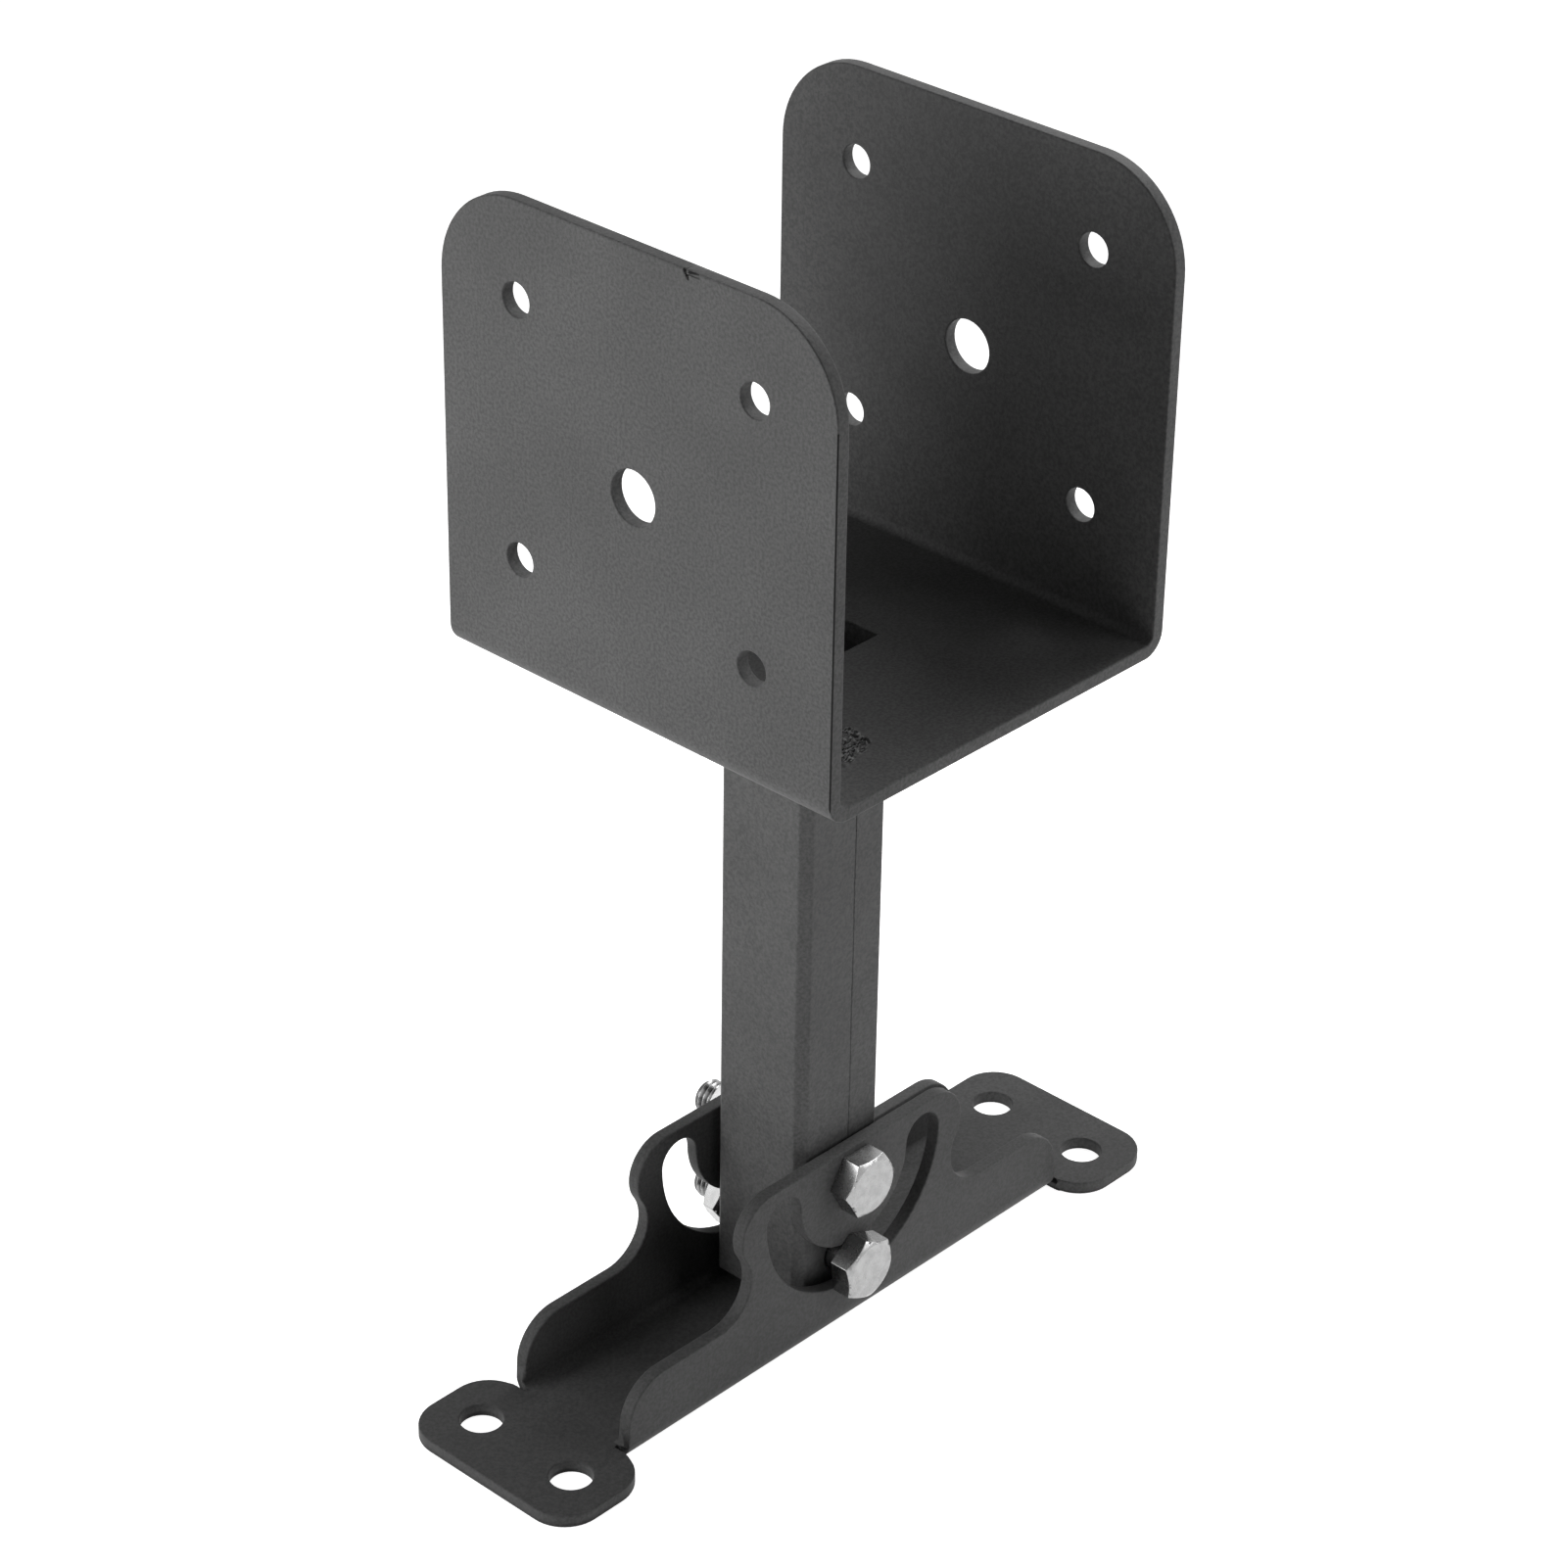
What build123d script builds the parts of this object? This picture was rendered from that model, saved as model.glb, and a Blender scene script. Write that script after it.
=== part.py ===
from build123d import *
from math import acos, degrees, sqrt, tan, radians
import os

# Roof riser bracket: a folded saddle on a square post that leans in a slotted base channel.
# Millimetres, +Z up. The base runs along X, and the beam and both bolts run along Y.
# The origin is in the middle of the base's underside, straight below the pivot.

# Saddle
beam_width = 90.0  # clear width between the wings
saddle_plate = 3.0
saddle_bend = 2.0  # inside radius of both folds
saddle_length = 101.0  # along the beam
wing_height = 100.0  # from the saddle's underside to the wings' top edge
wing_corner = 20.0
seat_height = 155.8  # underside of the saddle above the roof
nail_hole = 7.0
nail_spacing_y = 60.8
nail_spacing_z = 54.0
nail_row_height = 26.0  # lower row above the saddle's underside
bolt_hole = 11.2
bolt_hole_height = 50.0  # above the saddle's underside
cutout_lip = 0.5  # saddle plate that shows inside the post's bore

# Post
tube_side = 24.6
tube_wall = 2.0
tube_corner = 2.0  # flat across each outer corner
bore_corner = 0.8
weld_leg = 4.0
weld_slope = 40.0  # degrees between the bead's face and the post

# Base channel
base_plate = 3.0
base_bend = 2.0
post_gap = 1.1  # between the post and each wall
shoulder_height = 18.2
shoulder_flat = 16.2  # level stretch beside each end corner
wall_end_corner = 10.0
pivot_height = 37.5
pivot_cover = 7.9  # plate above the pivot's axis
slot_radius = 21.2  # pivot to the middle of the slot
slot_width = 10.0
slot_rim = 7.3  # plate beside the slot's ends
hump_corner = 8.5
waist_inset = 2.8  # how far the walls draw in below the hump
tail_clearance = 1.5  # between the swinging post and the channel's floor

# Ears
ear_length = 24.7
ear_width = 47.5
ear_corner = 8.5
ear_hole = 9.0
ear_spacing_y = 26.0
relief_slit = 0.8  # between a wall's end and the ear
relief_depth = 3.5

# Bolts and nuts
bolt_size = 8.0
hex_across = 13.0
head_height = 5.3
nut_height = 4.0
bolt_past_nut = 6.2
head_bevel = 1.6  # how far the bevel cuts in from the head's corners
nut_bevel = 1.1
bevel_slope = 30.0
tip_bevel = 1.0
bolt_fit = 0.1  # radial play of a bolt in the post and in the walls
thread_fit = 0.02  # radial play of a bolt in its nut
slide_gap = 0.1  # between the walls and the clamp bolt's head and nut
pivot_head_turn = 0.0
clamp_head_turn = 37.0
pivot_nut_turn = 9.0
clamp_nut_turn = 58.0

# Worked out from the sizes above
saddle_width = beam_width + 2 * saddle_plate
base_width = tube_side + 2 * post_gap + 2 * base_plate
wall_face = base_width / 2
hump_top = pivot_height + pivot_cover
hump_half = slot_radius + slot_width / 2 + slot_rim
hump_rise = hump_top - shoulder_height
waist_radius = hump_rise + waist_inset - hump_corner - sqrt(2 * waist_inset * hump_rise)
hump_turn = degrees(acos(1 - hump_rise / (hump_corner + waist_radius)))
wall_reach = hump_half - waist_inset + waist_radius + shoulder_flat + wall_end_corner
ear_middle = wall_reach + relief_slit + ear_length / 2
tail_swing = pivot_height - base_plate - tail_clearance
tail_length = sqrt(tail_swing**2 - (tube_side / 2) ** 2)
bore_side = tube_side - 2 * tube_wall
bolt_clear_hole = bolt_size + 2 * bolt_fit


# Outline of a folded channel seen along its folds, with the underside on the X axis
def fold_outline(width, height, radius):
    block = Pos(0, height / 2) * Rectangle(width, height)
    return fillet(block.vertices().sort_by(Axis.Y)[:2], radius)


def channel_section(width, height, plate, bend):
    outside = fold_outline(width, height, plate + bend)
    inside = fold_outline(width - 2 * plate, height - plate, bend)
    return outside - Pos(0, plate) * inside


def saddle():
    section = channel_section(saddle_width, wing_height, saddle_plate, saddle_bend)
    folded = extrude(Plane.XZ * section, saddle_length / 2, both=True)
    corners = folded.edges().filter_by(Axis.X).group_by(Axis.Z)[-1]
    folded = fillet(corners, wing_corner)
    nail_middle = nail_row_height + nail_spacing_z / 2
    nails = Sketch() + GridLocations(nail_spacing_y, nail_spacing_z, 2, 2) * Circle(nail_hole / 2)
    holes = Pos(0, nail_middle) * nails + Pos(0, bolt_hole_height) * Circle(bolt_hole / 2)
    folded -= extrude(Plane.YZ * holes, saddle_width, both=True)
    cutout_side = bore_side - 2 * cutout_lip
    folded -= Box(cutout_side, cutout_side, 2 * saddle_plate + saddle_bend)
    return Pos(0, 0, seat_height) * folded


def post_outline():
    square = Rectangle(tube_side, tube_side)
    return chamfer(square.vertices(), tube_corner)


# The post's holes lie on its middle line: the pivot, and the clamp bolt one slot radius below
def post_tube():
    bore = RectangleRounded(bore_side, bore_side, bore_corner)
    tail = pivot_height - tail_length
    tube = extrude(Pos(0, 0, tail) * (post_outline() - bore), seat_height - tail)
    holes = Sketch()
    for height in (pivot_height, pivot_height - slot_radius):
        holes += Pos(0, height) * Circle(bolt_clear_hole / 2)
    return tube - extrude(Plane.XZ * holes, tube_side, both=True)


# Fillet weld round the post's top, against the saddle's underside
def saddle_weld():
    toe = tube_side + 2 * weld_leg
    pad = RectangleRounded(toe, toe, tube_corner + weld_leg)
    bead = extrude(Pos(0, 0, seat_height) * pad, weld_leg, dir=(0, 0, -1), taper=weld_slope)
    return bead - extrude(Pos(0, 0, seat_height) * post_outline(), 2 * weld_leg, both=True)


# Side view of a wall: a level shoulder, a waist, and the hump that carries the slot and pivot.
# The hump's corner and the waist's curve turn by the same angle, so they meet in one tangent.
def wall_outline():
    top = Line((0, hump_top), (hump_half - hump_corner, hump_top))
    corner = JernArc(top @ 1, top % 1, hump_corner, -hump_turn)
    waist = JernArc(corner @ 1, corner % 1, waist_radius, hump_turn)
    shoulder = Line(waist @ 1, (wall_reach - wall_end_corner, shoulder_height))
    end = JernArc(shoulder @ 1, shoulder % 1, wall_end_corner, -90)
    side = Line(end @ 1, (wall_reach, 0))
    floor = Line(side @ 1, (0, 0))
    half = Curve() + [top, corner, waist, shoulder, end, side, floor]
    return make_face(half.edges() + mirror(half, Plane.YZ).edges())


# The slot is half a ring about the pivot, below it, so that the post can lie down either way
def wall_holes():
    ring = SlotArc(CenterArc((0, pivot_height), slot_radius, 180, 180), slot_width)
    return ring + Pos(0, pivot_height) * Circle(bolt_clear_hole / 2)


# One sheet: the floor strip, two folded walls, and an ear at each end past a relief slit
def base_channel():
    section = channel_section(base_width, hump_top, base_plate, base_bend)
    trough = extrude(Plane.YZ * section, wall_reach, both=True)
    trough &= extrude(Plane.XZ * wall_outline(), base_width, both=True)
    trough -= extrude(Plane.XZ * wall_holes(), base_width, both=True)
    neck_width = base_width - 2 * relief_depth
    sheet = Rectangle(2 * ear_middle, neck_width)
    sheet -= Rectangle(2 * wall_reach - base_plate, neck_width)
    for side in (-1, 1):
        sheet += Pos(side * ear_middle, 0) * RectangleRounded(ear_length, ear_width, ear_corner)
    for side in (-1, 1):
        for end in (-1, 1):
            sheet -= Pos(end * ear_middle, side * ear_spacing_y / 2) * Circle(ear_hole / 2)
    return trough + extrude(sheet, base_plate)


# Hexagon with bevelled corners, on the XY plane, with a corner on the X axis before its turn
def hexagon(height, turn, bevel, both_ends):
    corner_radius = hex_across / sqrt(3)
    bevel_height = bevel * tan(radians(bevel_slope))
    prism = extrude(RegularPolygon(corner_radius, 6, rotation=turn), height)
    cone = extrude(Circle(corner_radius), bevel_height, taper=90 - bevel_slope)
    keep = Pos(0, 0, height - bevel_height) * cone
    low = 0
    if both_ends:
        keep += Pos(0, 0, bevel_height) * Rot(180, 0, 0) * cone
        low = bevel_height
    middle = extrude(Circle(corner_radius), height - bevel_height - low)
    return prism & (keep + Pos(0, 0, low) * middle)


# A bolt through both walls, with its axis at a height above the roof and its head on the -Y side
def hex_bolt(height, turn, gap):
    under_head = wall_face + gap
    grip = 2 * under_head
    shank = extrude(Circle(bolt_size / 2), -(grip + nut_height + bolt_past_nut))
    shank = chamfer(shank.edges().filter_by(GeomType.CIRCLE).sort_by(Axis.Z)[0], tip_bevel)
    bolt = shank + hexagon(head_height, turn, head_bevel, False)
    return Pos(0, -under_head, height) * Rot(90, 0, 0) * bolt


def hex_nut(height, turn, gap):
    nut = hexagon(nut_height, turn, nut_bevel, True)
    nut -= Cylinder(bolt_size / 2 + thread_fit, 4 * nut_height)
    return Pos(0, wall_face + gap, height) * Rot(-90, 0, 0) * nut


os.makedirs("parts", exist_ok=True)

clamp_height = pivot_height - slot_radius
pieces = {
    "saddle": saddle(),
    "post_tube": post_tube(),
    "saddle_weld": saddle_weld(),
    "base_channel": base_channel(),
    "pivot_bolt": hex_bolt(pivot_height, pivot_head_turn, 0),
    "pivot_nut": hex_nut(pivot_height, pivot_nut_turn, 0),
    "clamp_bolt": hex_bolt(clamp_height, clamp_head_turn, slide_gap),
    "clamp_nut": hex_nut(clamp_height, clamp_nut_turn, slide_gap),
}
for node, piece in pieces.items():
    export_step(piece, f"parts/{node}.step")
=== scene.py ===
from math import cos, hypot, pi, radians, sin

import bmesh
import bpy
from mathutils import Matrix, Vector, noise


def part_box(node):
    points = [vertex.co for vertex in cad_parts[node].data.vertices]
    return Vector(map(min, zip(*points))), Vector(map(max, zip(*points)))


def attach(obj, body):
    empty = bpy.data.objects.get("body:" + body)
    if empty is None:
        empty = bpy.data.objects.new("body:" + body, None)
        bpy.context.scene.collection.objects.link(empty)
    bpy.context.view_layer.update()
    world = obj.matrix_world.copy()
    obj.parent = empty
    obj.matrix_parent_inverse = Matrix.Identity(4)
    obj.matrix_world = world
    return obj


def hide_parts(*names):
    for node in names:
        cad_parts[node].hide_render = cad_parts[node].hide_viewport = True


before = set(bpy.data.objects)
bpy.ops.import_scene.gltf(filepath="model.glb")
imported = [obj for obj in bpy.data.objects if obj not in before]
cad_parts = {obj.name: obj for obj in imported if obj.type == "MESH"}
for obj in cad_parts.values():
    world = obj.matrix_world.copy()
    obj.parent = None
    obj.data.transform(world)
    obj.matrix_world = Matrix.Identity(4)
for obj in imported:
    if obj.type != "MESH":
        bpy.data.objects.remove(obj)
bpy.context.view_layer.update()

mm = 0.001
mergeGap = 0.001 * mm
cutGap = 0.0001 * mm


# Small helpers for meshes

def mergedCopy(nodeName, flatAngle=0.5):
    bm = bmesh.new()
    bm.from_mesh(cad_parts[nodeName].data)
    bmesh.ops.remove_doubles(bm, verts=bm.verts, dist=mergeGap)
    bmesh.ops.dissolve_limit(bm, angle_limit=radians(flatAngle), verts=bm.verts, edges=bm.edges)
    return bm


def sharpEdges(bm, angle=30):
    found = []
    for edge in bm.edges:
        if len(edge.link_faces) == 2 and edge.calc_face_angle() > radians(angle):
            found.append(edge)
    return found


def softenEdges(bm, edges, width, segments):
    bmesh.ops.bevel(bm, geom=edges, offset=width, offset_type="OFFSET", segments=segments,
                    profile=0.5, affect="EDGES", clamp_overlap=False, material=-1)


# Splits some of the faces along a plane and keeps both sides
def splitAt(bm, faces, spot, normal):
    parts = set(faces)
    for face in faces:
        parts.update(face.verts)
        parts.update(face.edges)
    bmesh.ops.bisect_plane(bm, geom=list(parts), dist=cutGap, plane_co=spot, plane_no=normal)


# Cuts everything off past a level on Y; the side is 1 or -1
def cutOff(bm, level, side):
    everything = bm.verts[:] + bm.edges[:] + bm.faces[:]
    return bmesh.ops.bisect_plane(bm, geom=everything, dist=cutGap, plane_co=(0, level, 0),
                                  plane_no=(0, side, 0), clear_outer=True)


def addObject(name, data):
    added = bpy.data.objects.new(name, data)
    bpy.context.scene.collection.objects.link(added)
    return added


def finishPiece(bm, name, body, material, replaced=None):
    mesh = bpy.data.meshes.new(name)
    for face in bm.faces:
        face.smooth = True
    bm.to_mesh(mesh)
    bm.free()
    mesh.materials.append(material)
    piece = addObject(name, mesh)
    faceNormals = piece.modifiers.new("faceNormals", "WEIGHTED_NORMAL")
    faceNormals.weight = 100
    faceNormals.keep_sharp = True
    if replaced:
        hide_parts(replaced)
    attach(piece, body)
    return piece


# Small helpers for materials

def startMaterial(name):
    material = bpy.data.materials.new(name)
    material.use_nodes = True
    nodes = material.node_tree.nodes
    place = nodes.new("ShaderNodeTexCoord").outputs["Object"]
    return material, nodes, material.node_tree.links, nodes["Principled BSDF"], place


def noiseAt(nodes, links, place, scale, detail, rough):
    cloud = nodes.new("ShaderNodeTexNoise")
    cloud.inputs["Scale"].default_value = scale
    cloud.inputs["Detail"].default_value = detail
    cloud.inputs["Roughness"].default_value = rough
    links.new(place, cloud.inputs["Vector"])
    return cloud.outputs["Fac"]


def ranged(nodes, links, value, low, high, newLow, newHigh):
    ramp = nodes.new("ShaderNodeMapRange")
    ramp.inputs["From Min"].default_value = low
    ramp.inputs["From Max"].default_value = high
    ramp.inputs["To Min"].default_value = newLow
    ramp.inputs["To Max"].default_value = newHigh
    links.new(value, ramp.inputs["Value"])
    return ramp.outputs["Result"]


def mixedColour(nodes, links, share, first, second):
    mix = nodes.new("ShaderNodeMix")
    mix.data_type = "RGBA"
    links.new(share, mix.inputs["Factor"])
    for socket, colour in ((mix.inputs[6], first), (mix.inputs[7], second)):  # colours A and B
        if isinstance(colour, tuple):
            socket.default_value = (*colour, 1)
        else:
            links.new(colour, socket)
    return mix.outputs[2]  # the mixed colour


def bumped(nodes, links, height, distance, strength, under=None):
    bump = nodes.new("ShaderNodeBump")
    bump.inputs["Distance"].default_value = distance
    bump.inputs["Strength"].default_value = strength
    links.new(height, bump.inputs["Height"])
    if under:
        links.new(under, bump.inputs["Normal"])
    return bump.outputs["Normal"]


def combined(nodes, links, operation, first, second):
    step = nodes.new("ShaderNodeMath")
    step.operation = operation
    for socket, value in zip(step.inputs, (first, second)):
        if isinstance(value, (int, float)):
            socket.default_value = value
        else:
            links.new(value, socket)
    return step.outputs[0]


def vectorStep(nodes, links, operation, output, first, second):
    step = nodes.new("ShaderNodeVectorMath")
    step.operation = operation
    for socket, value in zip(step.inputs, (first, second)):
        if isinstance(value, Vector):
            socket.default_value = value
        else:
            links.new(value, socket)
    return step.outputs[output]


def scaled(nodes, links, vector, amount):
    step = nodes.new("ShaderNodeVectorMath")
    step.operation = "SCALE"
    if isinstance(vector, Vector):
        step.inputs[0].default_value = vector
    else:
        links.new(vector, step.inputs[0])
    links.new(amount, step.inputs["Scale"])
    return step.outputs[0]


strokeCore = 0.6  # share of a stroke's radius that is at full strength


# Share of the way into any of a few thin strokes, each two end points and a radius in mm
def strokeMask(nodes, links, place, strokes):
    mask = 0.0
    for start, end, radius in strokes:
        first, along = Vector(start) * mm, (Vector(end) - Vector(start)) * mm
        away = vectorStep(nodes, links, "SUBTRACT", "Vector", place, first)
        reach = vectorStep(nodes, links, "DOT_PRODUCT", "Value", away, along / along.length_squared)
        nearest = scaled(nodes, links, along, ranged(nodes, links, reach, 0, 1, 0, 1))
        gap = vectorStep(nodes, links, "DISTANCE", "Value", away, nearest)
        inside = ranged(nodes, links, gap, strokeCore * radius * mm, radius * mm, 1, 0)
        mask = combined(nodes, links, "MAXIMUM", mask, inside)
    return mask


# Powder coat: near-black grey with a sandy grain, faint mottling and a few pale and dark specks,
# and optional dark strokes of painted shade and wear
powderLook = {
    "dark": (0.084, 0.084, 0.084),
    "light": (0.124, 0.124, 0.124),
    "grainScale": 1500,
    "grainMiddle": 0.5,
    "grainSpan": 0.14,
    "grainDepth": 0.08 * mm,
    "grainStrength": 0.7,
    "mottleScale": 38,
    "mottleSpan": (0.35, 0.65),
    "mottle": (0.93, 1.06),
    "speck": (0.30, 0.30, 0.30),
    "darkSpeck": (0.035, 0.035, 0.035),
    "speckCells": 95,
    "speckSize": 0.035,
    "speckCore": 0.5,
    "speckFrom": 0.93,
    "peelShare": 0.3,
    "peelDepth": 0.05 * mm,
    "peelStrength": 0.5,
    "roughSpan": (0.3, 0.7),
    "rough": (0.52, 0.68),
    "specular": 0.09,
}
postLook = {**powderLook, "grainSpan": 0.17, "grainDepth": 0.06 * mm}
# The base has the same powder coat, painted darker: painted shade for the dimmer light down at the
# base
baseShadedLook = {
    **powderLook,
    "dark": (0.062, 0.062, 0.062),
    "light": (0.092, 0.092, 0.092),
    "grainSpan": 0.16,
    "grainDepth": 0.06 * mm,
}

# Dark strokes in mm: painted shade in the nicks, along the near wing's cut edge and down the
# post's seam near the saddle, and dark wear in the scuff
# Near-black used for worn-through coat and for painted shade
wearAndShadeColour = (0.012, 0.012, 0.012)
saddleWearAndShade = (
    # painted shade in the top nicks
    ((-47.9, -12.9, 255.5), (-47.9, -13.2, 255.0), 0.42),
    ((-47.8, -13.5, 254.6), (-47.8, -13.9, 254.0), 0.42),
    ((-47.9, -14.2, 255.3), (-47.9, -16.2, 255.6), 0.36),
    # painted shade in the lower nick
    ((-46.6, -16.3, 157.5), (-46.2, -17.9, 157.1), 0.48),
    # dark wear in the scuff
    ((-22.2, -36.2, 158.9), (-22.8, -37.3, 158.9), 0.45),
    ((-22.3, -36.0, 158.9), (-23.1, -33.2, 158.9), 0.32),
    ((-28.7, -37.4, 158.9), (-28.8, -38.3, 158.9), 0.30),
    # painted shade along the near wing's cut edge
    ((-47.88, -50.38, 159.0), (-47.88, -50.38, 236.0), 0.20),
)
# Painted shade down the seam's groove near the saddle
seamShade = (((2.3, -12.2, 118.0), (2.3, -12.2, 156.0), 0.22),)

# The scuff's broken coat: dark and pale streaks within these wider strokes
rubbedCoat = {
    "strokes": (
        ((-22.4, -31.6, 158.9), (-23.2, -36.6, 158.9), 1.5),
        ((-25.2, -34.4, 158.9), (-26.0, -37.2, 158.9), 2.3),
        ((-28.0, -36.6, 158.9), (-30.2, -38.6, 158.9), 1.7),
    ),
    "pale": (0.24, 0.24, 0.24),
    "streakScale": (900, 2300, 900),
    "streakSpan": (0.42, 0.62),
}


def specked(nodes, links, place, look, colour):
    cells = nodes.new("ShaderNodeTexVoronoi")
    cells.inputs["Scale"].default_value = look["speckCells"]
    links.new(place, cells.inputs["Vector"])
    parts = nodes.new("ShaderNodeSeparateColor")
    links.new(cells.outputs["Color"], parts.inputs["Color"])
    near = ranged(nodes, links, cells.outputs["Distance"],
                  look["speckCore"] * look["speckSize"], look["speckSize"], 1, 0)
    for channel, speckColour in (("Red", look["speck"]), ("Green", look["darkSpeck"])):
        chosen = combined(nodes, links, "GREATER_THAN", parts.outputs[channel], look["speckFrom"])
        speck = combined(nodes, links, "MULTIPLY", chosen, near)
        colour = mixedColour(nodes, links, speck, colour, speckColour)
    return colour


def rubbed(nodes, links, place, spec, colour):
    stretched = vectorStep(nodes, links, "MULTIPLY", "Vector", place, Vector(spec["streakScale"]))
    cloud = noiseAt(nodes, links, stretched, 1, detail=1, rough=0.5)
    streak = ranged(nodes, links, cloud, *spec["streakSpan"], 0, 1)
    broken = mixedColour(nodes, links, streak, wearAndShadeColour, spec["pale"])
    within = strokeMask(nodes, links, place, spec["strokes"])
    return mixedColour(nodes, links, within, colour, broken)


def powderCoat(name, look, shadeAndWearStrokes=(), worn=None):
    material, nodes, links, shader, place = startMaterial(name)
    grain = noiseAt(nodes, links, place, look["grainScale"], detail=2, rough=0.55)
    middle, span = look["grainMiddle"], look["grainSpan"]
    share = ranged(nodes, links, grain, middle - span, middle + span, 0, 1)
    coat = mixedColour(nodes, links, share, look["dark"], look["light"])
    mottle = noiseAt(nodes, links, place, look["mottleScale"], detail=4, rough=0.55)
    mottle = ranged(nodes, links, mottle, *look["mottleSpan"], *look["mottle"])
    colour = specked(nodes, links, place, look, scaled(nodes, links, coat, mottle))
    if worn:
        colour = rubbed(nodes, links, place, worn, colour)
    if shadeAndWearStrokes:
        # Dark strokes of painted shade and of wear
        shadeAndWearMask = strokeMask(nodes, links, place, shadeAndWearStrokes)
        colour = mixedColour(nodes, links, shadeAndWearMask, colour, wearAndShadeColour)
    links.new(colour, shader.inputs["Base Color"])

    rough = ranged(nodes, links, grain, *look["roughSpan"], *look["rough"])
    links.new(rough, shader.inputs["Roughness"])
    peel = noiseAt(nodes, links, place, look["grainScale"] * look["peelShare"], detail=2, rough=0.5)
    wavy = bumped(nodes, links, peel, look["peelDepth"], look["peelStrength"])
    sandy = bumped(nodes, links, grain, look["grainDepth"], look["grainStrength"], wavy)
    links.new(sandy, shader.inputs["Normal"])
    shader.inputs["Specular IOR Level"].default_value = look["specular"]
    return material


# Zinc plate: bright, slightly cloudy metal with fine pits, with painted shade down in the threads
zincLook = {
    "clear": (0.34, 0.34, 0.34),
    "cloudy": (0.27, 0.27, 0.27),
    "cloudScale": 420,
    "cloudSpan": (0.35, 0.7),
    "roughSpan": (0.3, 0.7),
    "rough": (0.22, 0.32),
    "pitScale": 2600,
    "pitDepth": 0.002 * mm,
    "pitStrength": 0.4,
    # painted shade in the thread roots, and the radii over which it fades out
    "threadShade": (0.10, 0.10, 0.10),
    "threadShadeSpan": (3.45 * mm, 3.85 * mm),
}
boltHeights = (37.5 * mm, 16.3 * mm)


# Share of painted shade down in the threads, on the nut side of bolts that lie along Y
def threadShadeMask(nodes, links, place, look, axisHeights):
    axes = nodes.new("ShaderNodeSeparateXYZ")
    links.new(place, axes.inputs[0])
    off = 1.0
    for height in axisHeights:
        up = combined(nodes, links, "SUBTRACT", axes.outputs["Z"], height)
        upSquare = combined(nodes, links, "MULTIPLY", up, up)
        acrossSquare = combined(nodes, links, "MULTIPLY", axes.outputs["X"], axes.outputs["X"])
        awaySquare = combined(nodes, links, "ADD", upSquare, acrossSquare)
        away = combined(nodes, links, "POWER", awaySquare, 0.5)
        off = combined(nodes, links, "MINIMUM", off, away)
    shadeShare = ranged(nodes, links, off, *look["threadShadeSpan"], 1, 0)
    nutSide = combined(nodes, links, "GREATER_THAN", axes.outputs["Y"], 0.0)
    return combined(nodes, links, "MULTIPLY", shadeShare, nutSide)


def zincPlate(name, look, axisHeights=()):
    material, nodes, links, shader, place = startMaterial(name)
    cloud = noiseAt(nodes, links, place, look["cloudScale"], detail=4, rough=0.6)
    share = ranged(nodes, links, cloud, *look["cloudSpan"], 0, 1)
    colour = mixedColour(nodes, links, share, look["clear"], look["cloudy"])
    if axisHeights:
        # Painted shade in the thread roots
        shadeShare = threadShadeMask(nodes, links, place, look, axisHeights)
        colour = mixedColour(nodes, links, shadeShare, colour, look["threadShade"])
    links.new(colour, shader.inputs["Base Color"])
    rough = ranged(nodes, links, cloud, *look["roughSpan"], *look["rough"])
    links.new(rough, shader.inputs["Roughness"])
    pits = noiseAt(nodes, links, place, look["pitScale"], detail=2, rough=0.5)
    pitted = bumped(nodes, links, pits, look["pitDepth"], look["pitStrength"])
    links.new(pitted, shader.inputs["Normal"])
    shader.inputs["Metallic"].default_value = 1
    return material


saddleCoat = powderCoat("saddleCoat", powderLook, saddleWearAndShade, rubbedCoat)
postCoat = powderCoat("postCoat", postLook, seamShade)
# The base's material carries painted shade in its darker colour
baseShadedCoat = powderCoat("baseShadedCoat", baseShadedLook)
weldCoat = powderCoat("weldCoat", powderLook)
boltZinc = zincPlate("boltZinc", zincLook, boltHeights)
nutZinc = zincPlate("nutZinc", zincLook)
print("materials made")


# Cut and folded plate: the pieces keep their form and get small rounded edges, as coated plate has
plateEdges = {
    "width": 0.35 * mm,
    "segments": 2,
    "slitAlong": (64.4 * mm, 67.0 * mm),
    "slitAcross": (11.3 * mm, 16.5 * mm),
    "slitTop": 4.9 * mm,
}


def besideSlit(spot, spec):
    along, across = spec["slitAlong"], spec["slitAcross"]
    inPlan = along[0] < abs(spot.x) < along[1] and across[0] < abs(spot.y) < across[1]
    return inPlan and spot.z < spec["slitTop"]


# The channel's relief slits are too narrow for rounded edges, so the edges round them stay plain
def roundedPlate(nodeName, spec, slit=False):
    bm = mergedCopy(nodeName)
    edges = sharpEdges(bm)
    if slit:
        edges = [edge for edge in edges if not any(besideSlit(v.co, spec) for v in edge.verts)]
    softenEdges(bm, edges, spec["width"], spec["segments"])
    return bm


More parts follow.
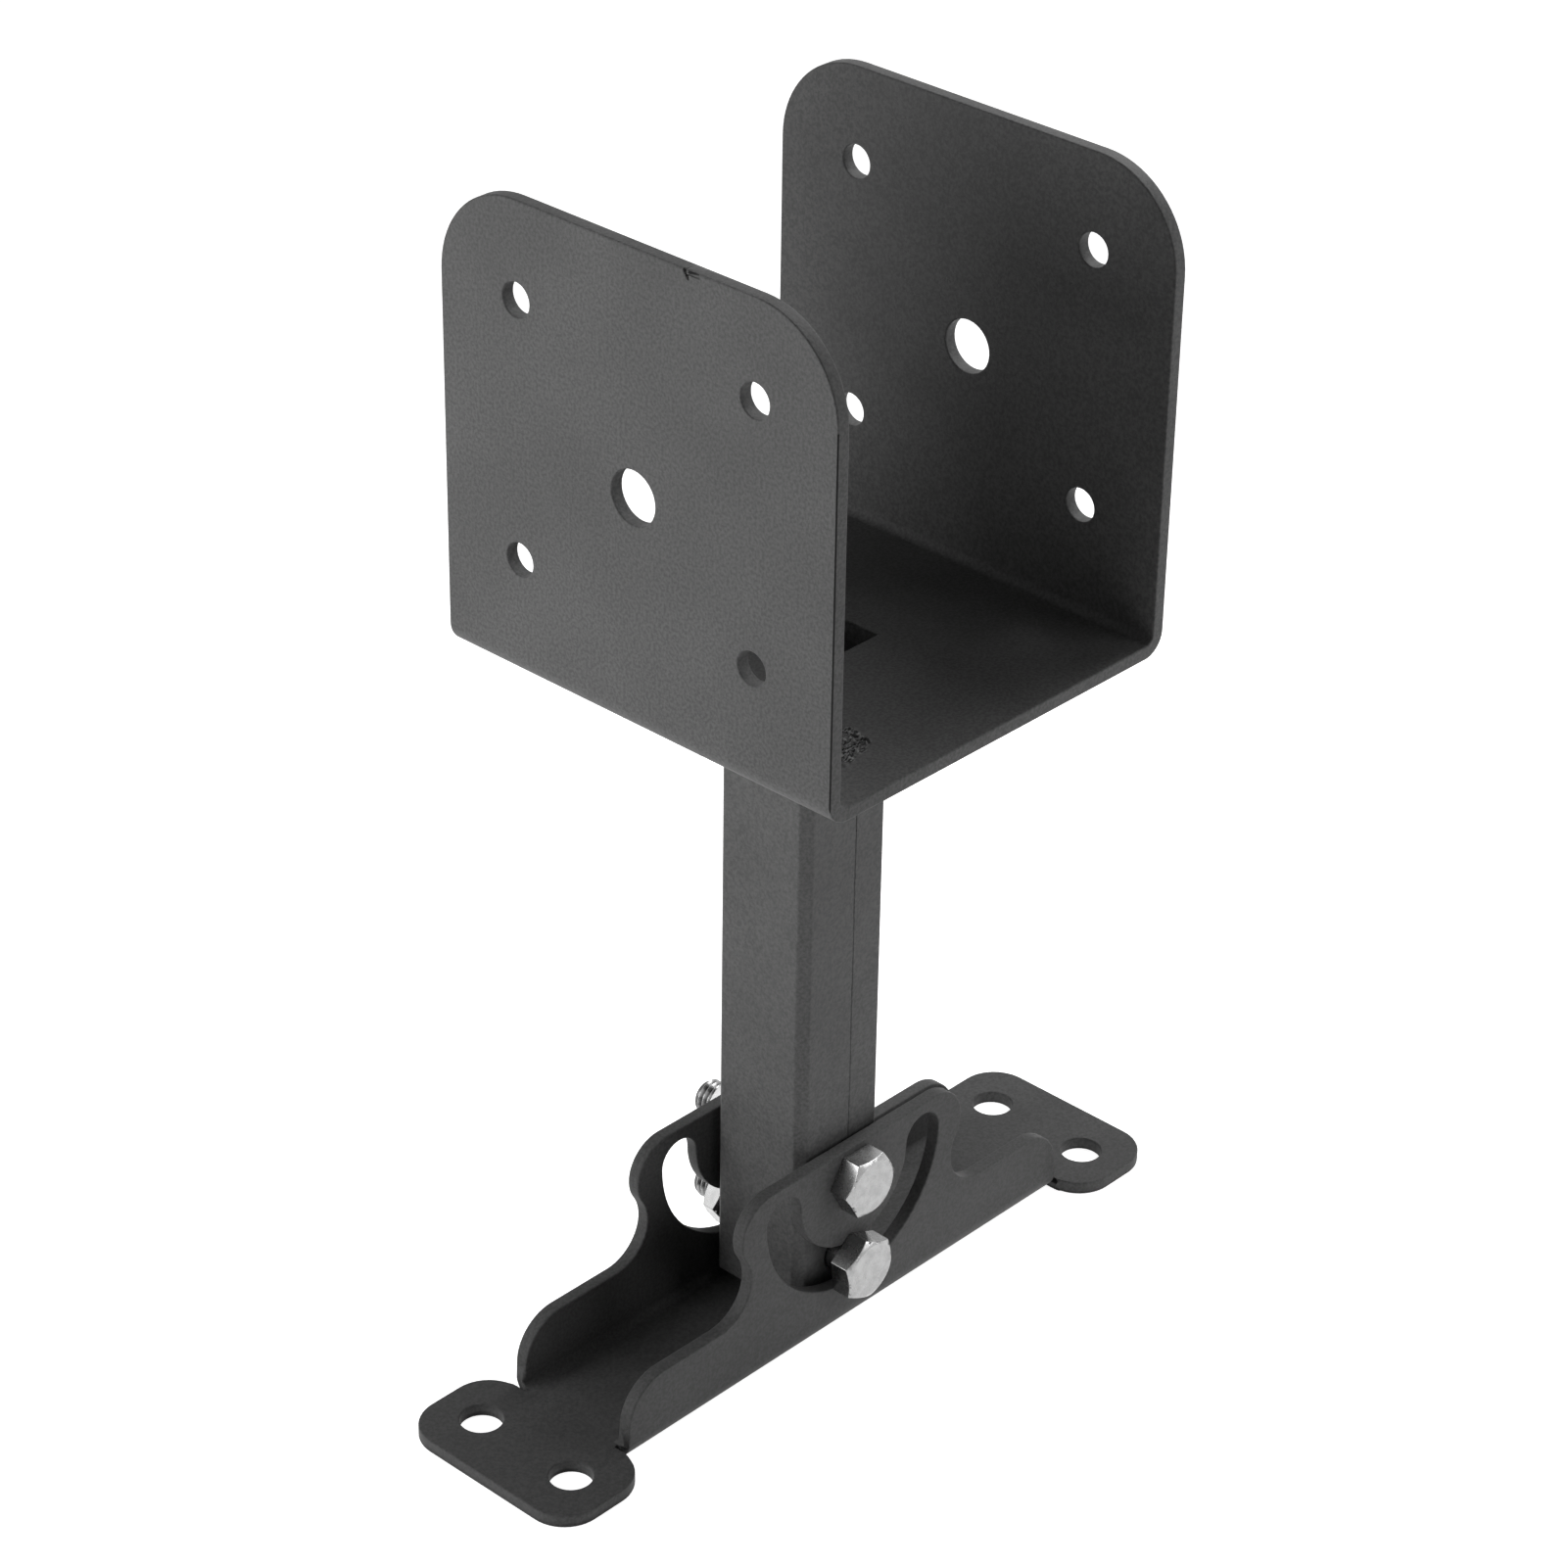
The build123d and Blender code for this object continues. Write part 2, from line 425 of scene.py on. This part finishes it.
# Nicks in the near wing, in mm: each is a small box of the surface pushed inwards
nicks = (
    {"low": (-48.1, -13.6, 254.9), "high": (-46.9, -12.8, 256.0), "push": (0.50, 0, -0.45)},
    {"low": (-48.1, -14.1, 253.9), "high": (-47.4, -13.3, 254.9), "push": (0.45, 0, 0)},
    {"low": (-48.1, -17.0, 254.8), "high": (-47.3, -13.9, 256.0), "push": (0.22, 0, -0.18)},
    {"low": (-47.2, -18.0, 156.6), "high": (-45.8, -16.2, 157.8), "push": (0.40, 0, 0.32)},
)
nickCuts = {"axes": (1, 2), "shares": (0, 0.25, 0.5, 0.75, 1), "rim": 0.01 * mm}


def reachesInto(face, low, high):
    corners = [vert.co for vert in face.verts]
    for i in range(3):
        if max(c[i] for c in corners) < low[i] or min(c[i] for c in corners) > high[i]:
            return False
    return True


def pushIn(bm, spec, cuts):
    low, high, push = (Vector(spec[key]) * mm for key in ("low", "high", "push"))
    for axis in cuts["axes"]:
        normal = Vector((0, 0, 0))
        normal[axis] = 1
        for share in cuts["shares"]:
            near = [face for face in bm.faces if reachesInto(face, low, high)]
            splitAt(bm, near, low.lerp(high, share), normal)
    rim = cuts["rim"]
    for vert in bm.verts:
        if all(low[i] + rim < vert.co[i] < high[i] - rim for i in range(3)):
            vert.co += push


def saddlePlate():
    bm = roundedPlate("saddle", plateEdges)
    for spec in nicks:
        pushIn(bm, spec, nickCuts)
    return finishPiece(bm, "saddlePlate", "post", saddleCoat, "saddle")


def baseSheet():
    bm = roundedPlate("base_channel", plateEdges, slit=True)
    return finishPiece(bm, "baseSheet", "base", baseShadedCoat, "base_channel")


# The post's weld seam: a fine groove along its near face, which wanders and varies in depth.
# The waves are in radians per mm of height
seam = {
    "across": 2.3 * mm,
    "lip": 0.19 * mm,
    "bottom": 0.13 * mm,
    "depth": 0.30 * mm,
    "uneven": 0.25,
    "unevenWave": 1.9,
    "wander": 0.05 * mm,
    "longWave": 0.23,
    "shortWave": 1.3,
    "shortShare": 0.5,
    "step": 2.1 * mm,
    "topGap": 1 * mm,
    "skin": 0.5 * mm,
    "slack": 0.01 * mm,
}


def postSection(spec):
    bm = roundedPlate("post_tube", plateEdges)
    low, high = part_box("post_tube")
    skin = low.y + spec["skin"]
    for offset in (-spec["lip"], -spec["bottom"], spec["bottom"], spec["lip"]):
        near = [face for face in bm.faces if face.calc_center_median().y < skin]
        splitAt(bm, near, (spec["across"] + offset, 0, 0), (1, 0, 0))
    level = low.z + spec["step"]
    while level < high.z - spec["topGap"]:
        near = []
        for face in bm.faces:
            middle = face.calc_center_median()
            if middle.y < skin and abs(middle.x - spec["across"]) < spec["lip"]:
                near.append(face)
        splitAt(bm, near, (0, 0, level), (0, 0, 1))
        level += spec["step"]
    for vert in bm.verts:
        aside = abs(vert.co.x - spec["across"])
        if vert.co.y > skin or aside > spec["lip"] + spec["slack"]:
            continue
        height = vert.co.z / mm
        if aside < spec["bottom"] + spec["slack"]:
            wave = spec["uneven"] * sin(spec["unevenWave"] * height)
            vert.co.y += spec["depth"] * (1 - spec["uneven"] + wave)
        longPart = sin(spec["longWave"] * height)
        shortPart = spec["shortShare"] * sin(spec["shortWave"] * height)
        vert.co.x += spec["wander"] * (longPart + shortPart)
    return finishPiece(bm, "postSection", "post", postCoat, "post_tube")


saddlePlate()
baseSheet()
postSection(seam)
print("plates rounded, nicked and seamed")


# Rough patch of coat on the saddle's floor, behind the near wing, in mm
scuff = {
    "corners": ((-19.5, -29.0), (-21.5, -37.6), (-33.5, -41.0), (-34.0, -29.5)),
    "floorHeight": 158.8,
    "sunk": 0.02,
    "cell": 0.25,
    "blend": 1.4,
    "ripple": 0.55,
    "lift": 0.35,
    "scale": 0.95,
    "fractal": (0.6, 2.2, 3),
}


# A fine grid that lies just under the floor and rises through it inside the corners
def roughPatch(spec):
    corners = [Vector(corner) for corner in spec["corners"]]
    sides = []
    for first, second in zip(corners, corners[1:] + corners[:1]):
        along = (second - first).normalized()
        sides.append((first, Vector((along.y, -along.x))))
    low = Vector((min(c.x for c in corners), min(c.y for c in corners)))
    high = Vector((max(c.x for c in corners), max(c.y for c in corners)))
    columns, rows = (int(length / spec["cell"]) + 1 for length in high - low)
    bm = bmesh.new()
    bmesh.ops.create_grid(bm, x_segments=columns, y_segments=rows, size=0.5)
    bmesh.ops.translate(bm, verts=bm.verts, vec=(0.5, 0.5, 0))
    bmesh.ops.scale(bm, verts=bm.verts, vec=(columns * spec["cell"], rows * spec["cell"], 1))
    bmesh.ops.translate(bm, verts=bm.verts, vec=(low.x, low.y, 0))
    for vert in bm.verts:
        inside = min((vert.co.xy - start).dot(inward) for start, inward in sides)
        share = max(0, min(1, inside / spec["blend"]))
        wave = noise.fractal(vert.co * spec["scale"], *spec["fractal"])
        rise = share * spec["ripple"] * (spec["lift"] + wave)
        vert.co.z = spec["floorHeight"] - spec["sunk"] + rise
    bmesh.ops.scale(bm, verts=bm.verts, vec=(mm, mm, mm))
    return finishPiece(bm, "roughPatch", "post", saddleCoat)


roughPatch(scuff)
print("rough patch laid")


# Weld bead under the saddle, with the ripples of its runs
bead = {
    "grow": 0.35 * mm,
    "pitch": 1.7 * mm,
    "cuts": 24,
    "postGap": 0.3 * mm,
    "topGap": 0.2 * mm,
}


def weldBead(spec):
    bm = bmesh.new()
    bm.from_mesh(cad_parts["saddle_weld"].data)
    bmesh.ops.remove_doubles(bm, verts=bm.verts, dist=mergeGap)
    longEdges = [edge for edge in bm.edges if edge.calc_length() > spec["pitch"]]
    bmesh.ops.subdivide_edges(bm, edges=longEdges, cuts=spec["cuts"], use_grid_fill=True)
    bmesh.ops.triangulate(bm, faces=bm.faces)
    bmesh.ops.recalc_face_normals(bm, faces=bm.faces)
    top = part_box("saddle_weld")[1].z
    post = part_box("post_tube")[1]
    bm.normal_update()
    moves = []
    for vert in bm.verts:
        x, y = vert.co.xy
        outward = max(abs(x) - post.x, abs(y) - post.y)
        if outward > spec["postGap"] and vert.co.z < top - spec["topGap"]:
            along = x + y if abs(x) > abs(y) else x - y
            wave = abs(sin(pi * along / spec["pitch"]))
            moves.append((vert, vert.normal * spec["grow"] * (wave - 0.5)))
    for vert, shift in moves:
        vert.co += shift
    return finishPiece(bm, "weldBead", "post", weldCoat, "saddle_weld")


weldBead(bead)
print("weld rippled")


# Hexagon bolts with rolled threads past their nuts; rise and fall are shares of the pitch
thread = {
    "radius": 4.0 * mm,
    "pitch": 1.25 * mm,
    "depth": 0.72 * mm,
    "rise": (0.10, 0.44),
    "fall": (0.56, 0.90),
    "stepsPerTurn": 48,
    "spareTurns": 2,
    "tip": 0.9 * mm,
    "insideNut": 3.0 * mm,
    "mergeGap": 0.002 * mm,
}
hexEdges = {
    "width": 0.12 * mm,
    "segments": 2,
    "flatAngle": 0.2,
    "rimAngle": 20,
    "boreAngle": 30,
    "boreRim": 0.45 * mm,
    "boreSlack": 0.1 * mm,
}


# One turn's outline is spun along Y, tapered at its tip, cut at both ends and closed
def threadedEnd(bm, spec, start, end, height):
    pitch, crest = spec["pitch"], spec["radius"]
    root = crest - spec["depth"]
    rise, fall = spec["rise"], spec["fall"]
    outline = ((0, root), (rise[0], root), (rise[1], crest),
               (fall[0], crest), (fall[1], root), (1, root))
    begin = start - pitch
    row = [bm.verts.new((radius, begin + share * pitch, 0)) for share, radius in outline]
    edges = [bm.edges.new(pair) for pair in zip(row, row[1:])]
    turns = int((end - begin) / pitch) + spec["spareTurns"]
    bmesh.ops.spin(bm, geom=row + edges, cent=(0, 0, 0), axis=(0, 1, 0), angle=2 * pi * turns,
                   dvec=(0, pitch / spec["stepsPerTurn"], 0), steps=turns * spec["stepsPerTurn"],
                   use_merge=False, use_normal_flip=False, use_duplicate=False)
    bmesh.ops.remove_doubles(bm, verts=bm.verts, dist=spec["mergeGap"])
    for vert in bm.verts:
        radius = hypot(vert.co.x, vert.co.z)
        most = crest - max(0, vert.co.y - (end - spec["tip"]))
        if radius > most:
            vert.co.x *= most / radius
            vert.co.z *= most / radius
    for level, side in ((start, -1), (end, 1)):
        cut = cutOff(bm, level, side)
        rim = [part for part in cut["geom_cut"] if isinstance(part, bmesh.types.BMEdge)]
        bmesh.ops.contextual_create(bm, geom=rim)
    bmesh.ops.recalc_face_normals(bm, faces=bm.faces)
    bmesh.ops.translate(bm, verts=bm.verts, vec=(0, 0, height))


# The shank is cut inside its nut, and the threads start half a pitch before the cut
def hexBolt(nodeName, name, body, nutName):
    low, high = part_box(nodeName)
    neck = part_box(nutName)[0].y + thread["insideNut"]
    bm = mergedCopy(nodeName, hexEdges["flatAngle"])
    cutOff(bm, neck, 1)
    bmesh.ops.holes_fill(bm, edges=[edge for edge in bm.edges if edge.is_boundary], sides=0)
    headRims = []
    for edge in sharpEdges(bm, hexEdges["rimAngle"]):
        if max(vert.co.y for vert in edge.verts) < 0:
            headRims.append(edge)
    softenEdges(bm, headRims, hexEdges["width"], hexEdges["segments"])
    threads = bmesh.new()
    threadedEnd(threads, thread, neck - 0.5 * thread["pitch"], high.y, (low.z + high.z) / 2)
    scrap = bpy.data.meshes.new("threads")
    threads.to_mesh(scrap)
    threads.free()
    bm.from_mesh(scrap)
    bpy.data.meshes.remove(scrap)
    return finishPiece(bm, name, body, boltZinc, nodeName)


def hexNut(nodeName, name, body):
    low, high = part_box(nodeName)
    middle = (low + high) / 2
    bm = mergedCopy(nodeName, hexEdges["flatAngle"])
    boreRims = []
    for edge in sharpEdges(bm, hexEdges["boreAngle"]):
        reach = max(hypot(v.co.x - middle.x, v.co.z - middle.z) for v in edge.verts)
        if reach < thread["radius"] + hexEdges["boreSlack"]:
            boreRims.append(edge)
    softenEdges(bm, boreRims, hexEdges["boreRim"], 1)
    rims = sharpEdges(bm, hexEdges["rimAngle"])
    softenEdges(bm, rims, hexEdges["width"], hexEdges["segments"])
    return finishPiece(bm, name, body, nutZinc, nodeName)


hexBolt("pivot_bolt", "pivotBolt", "base", "pivot_nut")
hexBolt("clamp_bolt", "clampBolt", "post", "clamp_nut")
hexNut("pivot_nut", "pivotNut", "base")
hexNut("clamp_nut", "clampNut", "post")
print("bolts and nuts made")


# Floor and surroundings: white to the camera and to reflections, softly shadowed under the part
stageLook = {
    "floorSize": 6.0,
    "floorDrop": 0.05 * mm,
    "floorColour": (0.8, 0.8, 0.8),
    "floorRough": 0.9,
    "glow": 0.93,
    "worldFill": 0.0,
}


def seenWhite(nodes, links):
    path = nodes.new("ShaderNodeLightPath")
    either = path.outputs["Is Camera Ray"]
    for name in ("Is Glossy Ray", "Is Transmission Ray"):
        either = combined(nodes, links, "MAXIMUM", either, path.outputs[name])
    return either


def paleFloor(spec):
    bm = bmesh.new()
    bmesh.ops.create_grid(bm, x_segments=1, y_segments=1, size=spec["floorSize"])
    bmesh.ops.translate(bm, verts=bm.verts, vec=(0, 0, -spec["floorDrop"]))
    mesh = bpy.data.meshes.new("floor")
    bm.to_mesh(mesh)
    bm.free()
    floor = addObject("floor", mesh)
    material = bpy.data.materials.new("paleFloor")
    material.use_nodes = True
    nodes, links = material.node_tree.nodes, material.node_tree.links
    shader = nodes["Principled BSDF"]
    shader.inputs["Base Color"].default_value = (*spec["floorColour"], 1)
    shader.inputs["Roughness"].default_value = spec["floorRough"]
    glow = nodes.new("ShaderNodeEmission")
    strength = ranged(nodes, links, seenWhite(nodes, links), 0, 1, 0, spec["glow"])
    links.new(strength, glow.inputs["Strength"])
    both = nodes.new("ShaderNodeAddShader")
    links.new(shader.outputs[0], both.inputs[0])
    links.new(glow.outputs[0], both.inputs[1])
    links.new(both.outputs[0], nodes["Material Output"].inputs["Surface"])
    mesh.materials.append(material)


def whiteWorld(spec):
    world = bpy.data.worlds.new("whiteWorld")
    bpy.context.scene.world = world
    world.use_nodes = True
    nodes, links = world.node_tree.nodes, world.node_tree.links
    background = nodes["Background"]
    background.inputs["Color"].default_value = (1, 1, 1, 1)
    strength = ranged(nodes, links, seenWhite(nodes, links), 0, 1, spec["worldFill"], 1)
    links.new(strength, background.inputs["Strength"])


paleFloor(stageLook)
whiteWorld(stageLook)


# Soft boxes round the part, and a wide one on the floor for the light that a bright table throws
# up. The camera sees none of them, and reflections don't show the one on the floor
lamps = {
    "tableBox": {"place": (-0.35, 0.30, -0.02 * mm), "size": 1.3, "watts": 2.7,
                 "aim": (-0.35, 0.30, 1), "reflected": False},
    "leftBox": {"place": (-0.41, 0.15, 0.25), "size": 0.24, "watts": 1.06},
    "backLeftBox": {"place": (-0.30, 0.36, 0.20), "size": 0.30, "watts": 0.30},
    "rightBox": {"place": (0.24, -0.38, 0.25), "size": 0.25, "watts": 0.68},
    "topBox": {"place": (0.40, 0, 0.82), "size": 0.30, "watts": 1.9},
    "backBox": {"place": (0.35, 0.05, 0.50), "size": 0.25, "watts": 1.3},
}
lampAim = (0, 0, 0.13)

for name, spec in lamps.items():
    light = bpy.data.lights.new(name, "AREA")
    light.shape = "SQUARE"
    light.size = spec["size"]
    light.energy = spec["watts"]
    lamp = addObject(name, light)
    place = Vector(spec["place"])
    turn = (Vector(spec.get("aim", lampAim)) - place).to_track_quat("-Z", "Y")
    lamp.visible_camera = False
    lamp.visible_glossy = spec.get("reflected", True)
    lamp.matrix_world = Matrix.Translation(place) @ turn.to_matrix().to_4x4()


# Camera at the photograph's angle; the focal length is in pixels of its 1601-pixel frame
photoCamera = {
    "azimuth": -47.25,
    "elevation": 30.42,
    "roll": 0.96,
    "distance": 0.8973,
    "across": -0.00421,
    "up": -0.01647,
    "aimHeight": 0.144,
    "focalPixels": 4647.6,
    "framePixels": 1601,
    "sensor": 36.0,
}


def placeCamera(spec):
    azimuth, elevation, roll = (radians(spec[key]) for key in ("azimuth", "elevation", "roll"))
    back = Vector((sin(azimuth) * cos(elevation), -cos(azimuth) * cos(elevation), sin(elevation)))
    level = Vector((cos(azimuth), sin(azimuth), 0))
    upright = back.cross(level)
    right = level * cos(roll) + upright * sin(roll)
    above = upright * cos(roll) - level * sin(roll)
    place = Vector((0, 0, spec["aimHeight"])) + back * spec["distance"]
    place += right * spec["across"] + above * spec["up"]
    data = bpy.data.cameras.new("photoCamera")
    data.sensor_width = spec["sensor"]
    data.lens = spec["focalPixels"] / spec["framePixels"] * spec["sensor"]
    camera = addObject("photoCamera", data)
    axes = Matrix((right, above, back)).transposed().to_4x4()
    camera.matrix_world = Matrix.Translation(place) @ axes
    bpy.context.scene.camera = camera


placeCamera(photoCamera)
bpy.context.scene.view_settings.view_transform = "Standard"
print("stage, lamps and camera set")
